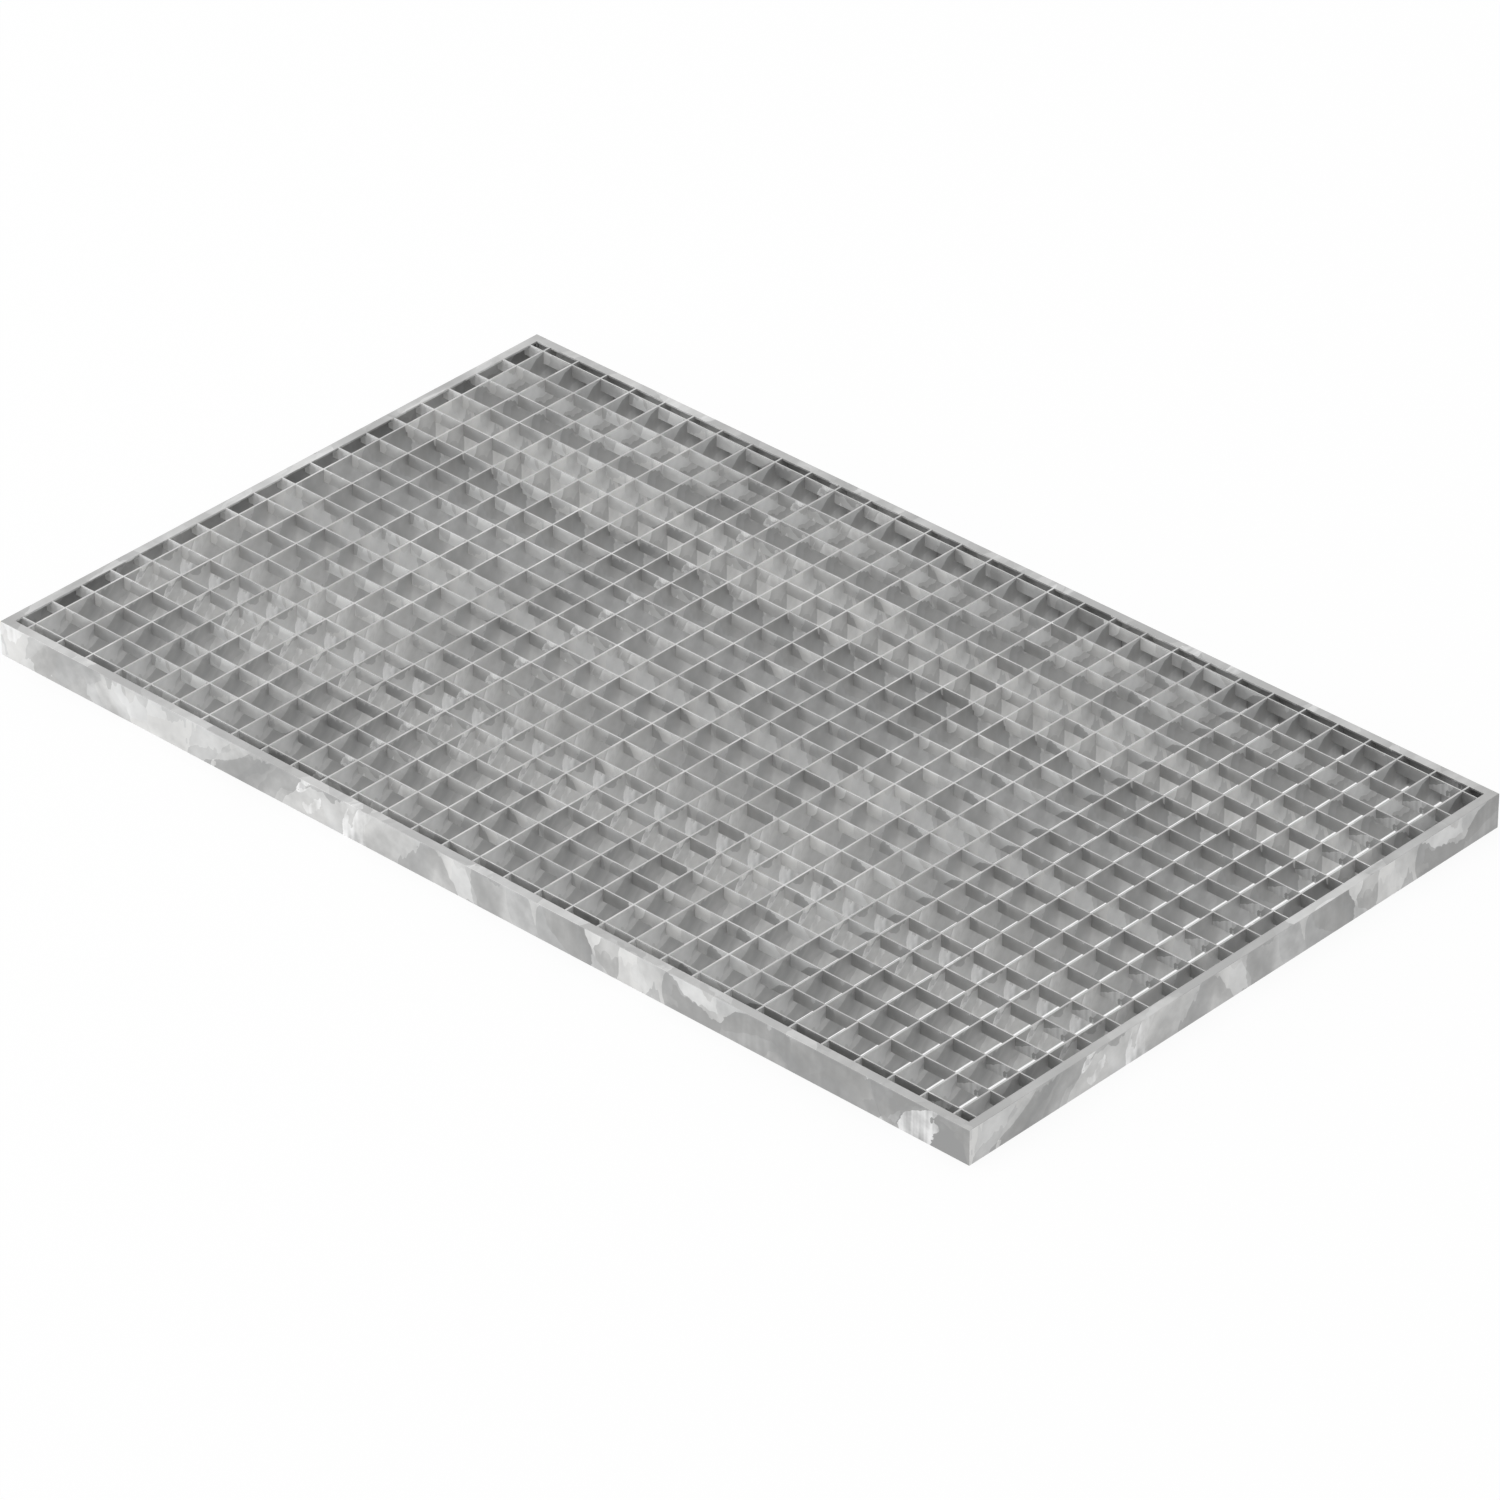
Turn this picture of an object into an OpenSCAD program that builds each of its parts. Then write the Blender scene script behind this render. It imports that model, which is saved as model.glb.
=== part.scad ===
// Pressed steel grating panel in a rolled edging strip, hot-dip galvanised.
//
// Deep bearing bars span the short way and carry the load. Shallow cross bars
// run the long way, are pressed into slots in the upper edges of the bearing
// bars and finish level with them. An inverted-L edging strip, mitred at the
// corners, closes all four sides. Its flange lies level with the bars, whose
// stepped ends tuck under the flange and butt against the upright web.
//
// Origin: centre of the underside. +X runs along the length, +Z points up.

/* [Panel] */
// Length over the edging, along the cross bars
panel_l = 990; // [300:10:1200]
// Width over the edging, along the bearing bars
panel_w = 590; // [200:10:1000]
// Overall height, which is also the depth of the bearing bars
panel_h = 30; // [20:1:50]

/* [Edging] */
// Width of the top flange, measured inward from the outer face
flange_w = 8; // [5:0.5:14]
// Thickness of the strip, the same in the web and in the flange
edging_t = 2; // [1.5:0.25:3]
// Inside radius of the angle between the web and the flange
root_r = 0.5; // [0.25:0.25:2]
// Radius of the outer arris, crisp as on a rolled section
arris_r = 0.5; // [0.25:0.25:1.25]

/* [Bearing bars] */
// Thickness of one bearing bar
bearing_t = 1.5; // [1:0.25:5]
// Distance between the centres of neighbouring bearing bars
bearing_pitch = 31.5; // [25:0.5:70]

/* [Cross bars] */
// Thickness of one cross bar
cross_t = 1; // [0.75:0.25:4]
// Depth of a cross bar, measured down from the top of the panel
cross_h = 11; // [6:1:18]
// Distance between the centres of neighbouring cross bars
cross_pitch = 31; // [25:0.5:70]

/* [Fit] */
// Clearance from the clipped corner of a bar's end to the root of the angle
end_clear = 0.5; // [0.25:0.25:1.5]
// Least open gap between the flange and the bar that runs beside it
edge_gap_min = 5; // [2:0.5:8]

/* [Hidden] */
$fn = 48;

flange_z = panel_h - edging_t;
end_clip = root_r + end_clear;

// As many bars as leave the least gap beside the flange, centred on the panel.
function bar_count(span, pitch, thick) =
    1 + floor((span - 2 * (flange_w + edge_gap_min) - thick) / pitch);
bearing_n = bar_count(panel_l, bearing_pitch, bearing_t);
cross_n = bar_count(panel_w, cross_pitch, cross_t);
function bearing_x(i) = (i - (bearing_n - 1) / 2) * bearing_pitch;
function cross_y(j) = (j - (cross_n - 1) / 2) * cross_pitch;

// The grid is made in bays, each starting with one of the bearing bars.
BAYS = 3;
function bay_first(k) = round(k * bearing_n / BAYS);
function bay_edge(k) = bearing_x(bay_first(k)) - bearing_t / 2;

edging_grey = [0.76, 0.76, 0.76];
grid_grey = [0.62, 0.62, 0.62];

// ---- edging ----

// Section of the strip: outer face on x = 0, flange towards +x.
module edging_section() {
    difference() {
        union() {
            square([edging_t, panel_h]);
            translate([0, flange_z]) square([flange_w, edging_t]);
            translate([edging_t, flange_z - root_r]) square(root_r);
        }
        translate([edging_t + root_r, flange_z - root_r]) circle(root_r);
        translate([0, panel_h - arris_r]) difference() {
            square(arris_r);
            translate([arris_r, 0]) circle(arris_r);
        }
    }
}

// One side of the frame, centred on x = 0, with the outer face on y = 0 and
// the flange towards +y. Both ends are mitred at 45 degrees.
module edging_strip(side) {
    intersection() {
        rotate([90, 0, 90]) translate([0, 0, -side / 2])
            linear_extrude(side) edging_section();
        linear_extrude(panel_h) polygon([
            [-side / 2, 0], [side / 2, 0],
            [side / 2 - flange_w, flange_w], [flange_w - side / 2, flange_w]
        ]);
    }
}

module edging_front() {
    color(edging_grey) translate([0, -panel_w / 2, 0]) edging_strip(panel_l);
}

module edging_back() {
    color(edging_grey) rotate(180) translate([0, -panel_w / 2, 0]) edging_strip(panel_l);
}

module edging_left() {
    color(edging_grey) rotate(-90) translate([0, -panel_l / 2, 0]) edging_strip(panel_w);
}

module edging_right() {
    color(edging_grey) rotate(90) translate([0, -panel_l / 2, 0]) edging_strip(panel_w);
}

// ---- bars ----

// Outline of a bar's end, from its lower edge up to its top edge. A tucked end
// reaches the web at `s` and is stepped down under the flange. `way` is 1 at
// the end towards +, and -1 at the other.
function tucked_end(s, low, way) = [
    [s, low],
    [s, flange_z - end_clip],
    [s - way * end_clip, flange_z],
    [s - way * (flange_w - edging_t), flange_z],
    [s - way * (flange_w - edging_t), panel_h]
];
function butt_end(s, low) = [[s, low], [s, panel_h]];
function reversed(p) = [for (i = [len(p) - 1:-1:0]) p[i]];

// A flat bar on edge, centred on y = 0, between two end outlines along x.
module flat_bar(end_a, end_b, thick) {
    rotate([90, 0, 0]) translate([0, 0, -thick / 2])
        linear_extrude(thick) polygon(concat(reversed(end_a), end_b));
}

module bearing_bar() {
    s = panel_w / 2 - edging_t;
    rotate(90) flat_bar(tucked_end(-s, 0, -1), tucked_end(s, 0, 1), bearing_t);
}

// The stretch of a cross bar that belongs to bay k.
module cross_bar(k) {
    s = panel_l / 2 - edging_t;
    low = panel_h - cross_h;
    flat_bar(
        k == 0 ? tucked_end(-s, low, -1) : butt_end(bay_edge(k), low),
        k == BAYS - 1 ? tucked_end(s, low, 1) : butt_end(bay_edge(k + 1), low),
        cross_t
    );
}

module grid_bay(k) {
    color(grid_grey) union() {
        for (i = [bay_first(k):bay_first(k + 1) - 1])
            translate([bearing_x(i), 0, 0]) bearing_bar();
        for (j = [0:cross_n - 1])
            translate([0, cross_y(j), 0]) cross_bar(k);
    }
}

edging_front();
edging_back();
edging_left();
edging_right();
grid_bay(0);  // grid_left
grid_bay(1);  // grid_middle
grid_bay(2);  // grid_right
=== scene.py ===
# Pressed steel grating panel, hot-dip galvanised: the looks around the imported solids.
import bpy
import math
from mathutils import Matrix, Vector


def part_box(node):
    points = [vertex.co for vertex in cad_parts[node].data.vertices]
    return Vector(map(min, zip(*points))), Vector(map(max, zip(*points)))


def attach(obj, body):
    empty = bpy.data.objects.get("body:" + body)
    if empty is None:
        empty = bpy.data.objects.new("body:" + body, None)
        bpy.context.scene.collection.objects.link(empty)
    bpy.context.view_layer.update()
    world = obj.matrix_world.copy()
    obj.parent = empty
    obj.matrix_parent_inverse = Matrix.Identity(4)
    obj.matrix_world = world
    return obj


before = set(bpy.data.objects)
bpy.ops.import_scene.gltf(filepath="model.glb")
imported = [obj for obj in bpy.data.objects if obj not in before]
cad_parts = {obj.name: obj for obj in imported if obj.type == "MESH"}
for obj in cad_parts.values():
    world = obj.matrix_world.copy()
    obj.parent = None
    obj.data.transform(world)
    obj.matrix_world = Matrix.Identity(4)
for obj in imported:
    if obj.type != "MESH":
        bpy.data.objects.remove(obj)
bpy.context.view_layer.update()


# ---- view ----
# The panel lies flat and is seen from its front right corner, from above, with a long
# lens. All places are taken from the solids, with the origin under the panel's centre.
lens_mm = 223.17
turn_deg = 42.82
height_deg = 32.93
stand_off = 6.94
walking_z = max(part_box(node)[1][2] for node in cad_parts)
aim = Vector((0.04744, -0.03898, walking_z))

camera = bpy.data.objects.new("camera", bpy.data.cameras.new("camera"))
bpy.context.scene.collection.objects.link(camera)
camera.data.lens = lens_mm
camera.data.sensor_width = 36
camera.data.clip_end = 100
away = Vector((
    math.sin(math.radians(turn_deg)) * math.cos(math.radians(height_deg)),
    -math.cos(math.radians(turn_deg)) * math.cos(math.radians(height_deg)),
    math.sin(math.radians(height_deg)),
))
camera.location = aim + away * stand_off
camera.rotation_euler = away.to_track_quat("Z", "Y").to_euler()
bpy.context.scene.camera = camera
bpy.context.scene.view_settings.view_transform = "Standard"


# ---- studio ----
# A plain white floor under the panel in an even white room, with a broad soft lamp
# overhead and a weaker one low at the front left. Floor and room are white to the camera
# and nearly white in reflections, and the floor keeps a faint shadow of the panel.
floor_size = 30
shadow_kept = 0.1
room_light = 0.86


class Socket:
    """An output socket that numbers and other sockets can be added to, multiplied by and so on."""

    def __init__(self, tree, output):
        self.tree = tree
        self.output = output

    def maths(self, operation, *others):
        return self.tree.node("ShaderNodeMath", {"operation": operation}, {
            place: other for place, other in enumerate((self,) + others)
        })[0]

    def __add__(self, other):
        return self.maths("ADD", other)

    def __sub__(self, other):
        return self.maths("SUBTRACT", other)

    def __mul__(self, other):
        return self.maths("MULTIPLY", other)

    def __rsub__(self, other):
        return self.tree.node("ShaderNodeMath", {"operation": "SUBTRACT"}, {0: other, 1: self})[0]

    def __lt__(self, other):
        return self.maths("LESS_THAN", other)

    def __gt__(self, other):
        return self.maths("GREATER_THAN", other)

    __radd__ = __add__
    __rmul__ = __mul__


class Tree:
    """The node tree of a material, of the world or of a Geometry Nodes group."""

    def __init__(self, node_tree):
        self.nodes = node_tree.nodes
        self.links = node_tree.links
        self.nodes.clear()

    def node(self, kind, settings=None, inputs=None):
        """Adds a node and gives its outputs by place and by name. A list joins several sockets
        to one input."""
        made = self.nodes.new(kind)
        for name, value in (settings or {}).items():
            if name == "stops":
                ramp = made.color_ramp
                while len(ramp.elements) < len(value):
                    ramp.elements.new(1)
                for element, (place, grey) in zip(ramp.elements, value):
                    element.position = place
                    element.color = (grey, grey, grey, 1)
            else:
                setattr(made, name, value)
        for place, value in (inputs or {}).items():
            for source in value if isinstance(value, list) else [value]:
                if isinstance(source, Socket):
                    self.links.new(source.output, made.inputs[place])
                else:
                    made.inputs[place].default_value = source
        outputs = {}
        for place, output in enumerate(made.outputs):
            outputs[place] = Socket(self, output)
            if output.enabled:
                outputs.setdefault(output.name, outputs[place])
        return outputs


def shader_tree(owner):
    owner.use_nodes = True
    return Tree(owner.node_tree)


reach = floor_size / 2
floor_mesh = bpy.data.meshes.new("floor")
floor_mesh.from_pydata([(-reach, -reach, 0), (reach, -reach, 0), (reach, reach, 0), (-reach, reach, 0)],
                       [], [(0, 1, 2, 3)])
floor = bpy.data.objects.new("floor", floor_mesh)
bpy.context.scene.collection.objects.link(floor)
floor_white = bpy.data.materials.new("floor_white")
tree = shader_tree(floor_white)
path = tree.node("ShaderNodeLightPath")
matt = tree.node("ShaderNodeBsdfDiffuse", None, {"Color": (0.9, 0.9, 0.9, 1)})[0]
bright = path["Is Camera Ray"] + (1 - path["Is Camera Ray"]) * room_light
glow = tree.node("ShaderNodeEmission", None, {"Color": (1, 1, 1, 1), "Strength": bright})[0]
seen = path["Is Camera Ray"] * (1 - shadow_kept) + path["Is Glossy Ray"] + path["Is Transmission Ray"]
mixed = tree.node("ShaderNodeMixShader", None, {0: seen, 1: matt, 2: glow})[0]
tree.node("ShaderNodeOutputMaterial", None, {"Surface": mixed})
floor_mesh.materials.append(floor_white)

world = bpy.data.worlds.new("white_room")
bpy.context.scene.world = world
tree = shader_tree(world)
camera_ray = tree.node("ShaderNodeLightPath")["Is Camera Ray"]
bright = camera_ray + (1 - camera_ray) * room_light
room = tree.node("ShaderNodeBackground", None, {"Color": (1, 1, 1, 1), "Strength": bright})[0]
tree.node("ShaderNodeOutputWorld", None, {"Surface": room})

for name, place, width, depth, power in (
    ("overhead_lamp", Vector((-1.2, 0.0, 4.8)), 4.0, 4.0, 55),
    ("low_lamp", Vector((-2.2, -4.0, 0.5)), 3.5, 0.8, 45),
):
    lamp = bpy.data.objects.new(name, bpy.data.lights.new(name, "AREA"))
    bpy.context.scene.collection.objects.link(lamp)
    lamp.data.shape = "RECTANGLE"
    lamp.data.size = width
    lamp.data.size_y = depth
    lamp.data.energy = power
    lamp.location = place
    lamp.rotation_euler = place.to_track_quat("Z", "Y").to_euler()


# ---- edging ----
# Four lengths of inverted-L strip, mitred at the corners. Like the bars they were dipped
# in molten zinc, which froze in broad flakes of light and dark grey. The faces inside the
# strip, under the flange, are painted darker as painted shade, and the flange tops are
# drawn toward an even grey.
edging_t = 0.002
panel_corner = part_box("edging_back")[1]


def blend(tree, share, a, b, kind="MIX"):
    return tree.node("ShaderNodeMix", {"data_type": "RGBA", "blend_type": kind}, {0: share, 6: a, 7: b})[2]


def zinc(name, stops, painted_glint_share, changed):
    """The frozen zinc coat. One flat pattern is laid on the faces square to X, Y and Z in
    turn, so all bars that run the same way are alike. `changed` changes the grey of some faces."""
    flake = 0.095
    chip = 0.028
    streak = 0.016
    sway_size = 0.08
    sway = 0.10
    fray_size = 0.010
    fray = 0.007
    teeth_size = (0.004, 0.004, 0.008)
    haze_per_m = 20.0
    mottle_per_m = 110.0
    comb_per_m = 190.0
    face_on = 0.7
    # Two places in the endless noise, picked by trial for where the light and dark bands fall.
    start = (35.715, 58.697, 16.594)
    streak_start = (2.6, 3.3, 0.5)
    material = bpy.data.materials.new(name)
    tree = shader_tree(material)

    def vector(operation, a, b, c=None):
        inputs = {0: a, 1: b}
        if c is not None:
            inputs[2] = c
        return tree.node("ShaderNodeVectorMath", {"operation": operation}, inputs)[0]

    def noise(at, per_m, detail):
        return tree.node("ShaderNodeTexNoise", None, {"Vector": at, "Scale": per_m, "Detail": detail})

    def bend(at, size, distance, detail):
        cloud = vector("SUBTRACT", noise(at, 1 / size, detail)["Color"], (0.5, 0.5, 0.5))
        return vector("MULTIPLY_ADD", cloud, (distance,) * 3, at)

    def cells(at, size):
        colour = tree.node("ShaderNodeTexVoronoi", None, {"Vector": at, "Scale": 1 / size})["Color"]
        return tree.node("ShaderNodeSeparateColor", None, {0: colour})

    local = tree.node("ShaderNodeTexCoord")["Object"]
    normal = tree.node("ShaderNodeNewGeometry")["Normal"]
    facing = tree.node("ShaderNodeVectorMath", {"operation": "ABSOLUTE"}, {0: normal})[0]
    facing = tree.node("ShaderNodeSeparateXYZ", None, {0: facing})
    at = tree.node("ShaderNodeSeparateXYZ", None, {0: local})
    along = at["X"] + (at["Y"] - at["X"]) * (facing["X"] > face_on)
    up = at["Z"] + (at["Y"] - at["Z"]) * (facing["Z"] > face_on)
    place = tree.node("ShaderNodeCombineXYZ", None, {"X": along, "Z": up})[0]
    place = vector("ADD", place, start)

    # The edges of the flakes wander, fray and are combed upright.
    bent = bend(bend(place, sway_size, sway, 0.0), fray_size, fray, 2.0)
    soft = noise(bent, haze_per_m, 1.0)[0]
    mottle = noise(place, mottle_per_m, 3.0)[0]
    comb = noise(vector("MULTIPLY", place, (1, 1, 0.1)), comb_per_m, 1.0)
    teeth = vector("SUBTRACT", comb["Color"], (0.5, 0.5, 0.5))
    bent = vector("MULTIPLY_ADD", teeth, teeth_size, bent)

    # Broad flakes, some with small chips in them or with upright lines, and a few streaks painted near
    # white as glints (painted highlights).
    broad = cells(bent, flake)
    small = cells(bent, chip)
    tall = cells(vector("MULTIPLY_ADD", bent, (1, 1, 0.25), streak_start), streak)
    crisp = tree.node("ShaderNodeMapRange", None, {0: broad[1] + soft, 1: 0.7, 2: 1.0})[0]
    chips = (small[0] - 0.5) * crisp
    lines = (comb[0] - 0.5) * (broad[2] > 0.6)
    tone = broad[0] * 0.5 + chips * 0.3 + lines * 0.2 + (soft - 0.5) * 0.6 + (mottle - 0.5) * 0.25 + 0.23
    grey = tree.node("ShaderNodeValToRGB", {"stops": stops}, {0: tone})[0]
    tint = blend(tree, small[2], (1.0, 0.998, 0.988, 1), (0.996, 1.0, 0.998, 1))
    grey = blend(tree, 1.0, grey, tint, "MULTIPLY")
    # Painted highlight: a few tall flakes are painted near white as glints.
    bright = (tall[1] > 0.95) * (comb[0] * 2 + mottle - 1)
    grey = blend(tree, bright * painted_glint_share, grey, (0.97, 0.97, 0.97, 1))
    grey = changed(tree, local, normal, grey)
    rough = 0.62 + broad[0] * 0.16
    body = tree.node("ShaderNodeBsdfPrincipled", None,
                     {"Base Color": grey, "Metallic": 1.0, "Roughness": rough})[0]
    tree.node("ShaderNodeOutputMaterial", None, {"Surface": body})
    return material


def even_tops_painted_shade_inside(tree, local, normal, grey):
    # Upward faces are drawn toward an even mid grey.
    top = tree.node("ShaderNodeSeparateXYZ", None, {0: normal})["Z"] > 0.9
    grey = blend(tree, top * 0.45, grey, (0.60, 0.60, 0.595, 1))
    # Painted shade: the faces inside the strip, under the flange, are darkened toward black.
    at = tree.node("ShaderNodeSeparateXYZ", None, {0: local})
    painted_shade_inside = ((at["X"].maths("ABSOLUTE") < panel_corner[0] - edging_t / 2)
              * (at["Y"].maths("ABSOLUTE") < panel_corner[1] - edging_t / 2)
              * (at["Z"] < panel_corner[2] - edging_t * 0.75))
    return blend(tree, painted_shade_inside * 0.34, grey, (0, 0, 0, 1))


edging_zinc = zinc("zinc_on_edging", [
    (0.20, 0.40), (0.38, 0.48), (0.5, 0.56), (0.62, 0.68), (0.78, 0.80), (0.92, 0.87),
], 0.85, even_tops_painted_shade_inside)
for node in ("edging_front", "edging_back", "edging_left", "edging_right"):
    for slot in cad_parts[node].material_slots:
        slot.material = edging_zinc


# ---- bars ----
# Thin flat steel on edge: 31 deep bearing bars across the panel, and 19 shallow cross bars
# pressed into their upper edges. Their top edges are painted a lighter, more even grey as painted light.
bearing_bars = 31
bearing_spacing = 0.0315
cross_bars = 19
cross_spacing = 0.031
cross_h = 0.011


def painted_light_on_tops(tree, local, normal, grey):
    # Painted light: the top faces of the bars are drawn toward a lighter, even grey.
    top = tree.node("ShaderNodeSeparateXYZ", None, {0: normal})["Z"] > 0.9
    return blend(tree, top * 0.5, grey, (0.67, 0.67, 0.667, 1))


bar_zinc = zinc("zinc_on_bars", [
    (0.20, 0.41), (0.38, 0.49), (0.5, 0.56), (0.62, 0.66), (0.78, 0.78), (0.92, 0.86),
], 0.7, painted_light_on_tops)
for node in ("grid_left", "grid_middle", "grid_right"):
    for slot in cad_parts[node].material_slots:
        slot.material = bar_zinc


# ---- welds ----
# Short upright welds hold each bar's end to the inside of the edging, along one side of the
# bar, and hold the four strips to each other in the corners. Each is a row of overlapping
# drops of weld metal, dipped in zinc with the rest.
bar_drop_r = 0.0017
corner_drop_r = 0.0012
drop_clear = 0.0009
beside_bar = 0.0012

weld_group = bpy.data.node_groups.new("weld_rows", "GeometryNodeTree")
weld_group.interface.new_socket("Geometry", in_out="OUTPUT", socket_type="NodeSocketGeometry")
for label, kind in (
    ("Welds", "Int"), ("First Weld", "Vector"), ("Weld Step", "Vector"), ("Drops", "Int"),
    ("Drop Step", "Vector"), ("Drop Radius", "Float"), ("Least Size", "Float"), ("Seed", "Int"),
    ("Zinc", "Material"),
):
    weld_group.interface.new_socket(label, in_out="INPUT", socket_type="NodeSocket" + kind)
tree = Tree(weld_group)
given = tree.node("NodeGroupInput")


def row(count, start, step):
    return tree.node("GeometryNodeMeshLine", {"mode": "OFFSET"},
                     {"Count": count, "Start Location": start, "Offset": step})[0]


def placed(points, shape, size):
    return tree.node("GeometryNodeInstanceOnPoints", None,
                     {"Points": points, "Instance": shape, "Scale": size})[0]


one_weld = row(given["Drops"], (0, 0, 0), given["Drop Step"])
centres = placed(row(given["Welds"], given["First Weld"], given["Weld Step"]), one_weld, (1, 1, 1))
centres = tree.node("GeometryNodeRealizeInstances", None, {0: centres})[0]
drop = tree.node("GeometryNodeMeshUVSphere", None,
                 {"Segments": 8, "Rings": 5, "Radius": given["Drop Radius"]})[0]
size = tree.node("FunctionNodeRandomValue", {"data_type": "FLOAT"},
                 {"Min": given["Least Size"], "Max": 1.0, "Seed": given["Seed"]})["Value"]
near_side = placed(centres, drop, size)
far_side = tree.node("GeometryNodeTransform", None, {"Geometry": near_side, "Rotation": (0, 0, math.pi)})[0]
both = tree.node("GeometryNodeJoinGeometry", None, {0: [near_side, far_side]})[0]
shape = tree.node("GeometryNodeRealizeInstances", None, {0: both})[0]
shape = tree.node("GeometryNodeSetShadeSmooth", None, {"Geometry": shape})[0]
shape = tree.node("GeometryNodeSetMaterial", None, {"Geometry": shape, "Material": given["Zinc"]})[0]
tree.node("NodeGroupOutput", None, {0: shape})

web_x = panel_corner[0] - edging_t - drop_clear
web_y = panel_corner[1] - edging_t - drop_clear
first_x = -(bearing_bars - 1) / 2 * bearing_spacing - beside_bar
first_y = -(cross_bars - 1) / 2 * cross_spacing - beside_bar
cross_low = walking_z - cross_h
for name, welds, first, step, drops, drop_r, seed, coat, slot_name in (
    ("bearing_end_welds", bearing_bars, (first_x, web_y, 0.004), (bearing_spacing, 0, 0),
     17, bar_drop_r, 3, bar_zinc, "grid_zinc"),
    ("cross_end_welds", cross_bars, (web_x, first_y, cross_low + bar_drop_r), (0, cross_spacing, 0),
     5, bar_drop_r, 5, bar_zinc, "grid_zinc"),
    ("corner_welds", 2, (-web_x, web_y, 0.002), (2 * web_x, 0, 0),
     30, corner_drop_r, 7, edging_zinc, "edging_zinc"),
):
    weld = bpy.data.objects.new(name, bpy.data.meshes.new(name))
    bpy.context.scene.collection.objects.link(weld)
    grow = weld.modifiers.new("grow", "NODES")
    grow.node_group = weld_group
    sizes = {
        "Welds": welds, "First Weld": first, "Weld Step": step, "Drops": drops,
        "Drop Step": (0, 0, drop_r * 0.67), "Drop Radius": drop_r, "Least Size": 0.88, "Seed": seed,
        "Zinc": coat,
    }
    for item in weld_group.interface.items_tree:
        if item.in_out == "INPUT":
            grow[item.identifier] = sizes[item.name]
    grown = weld.evaluated_get(bpy.context.evaluated_depsgraph_get())
    mesh = bpy.data.meshes.new_from_object(grown)
    weld.modifiers.clear()
    weld.data = mesh
    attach(weld, "root")
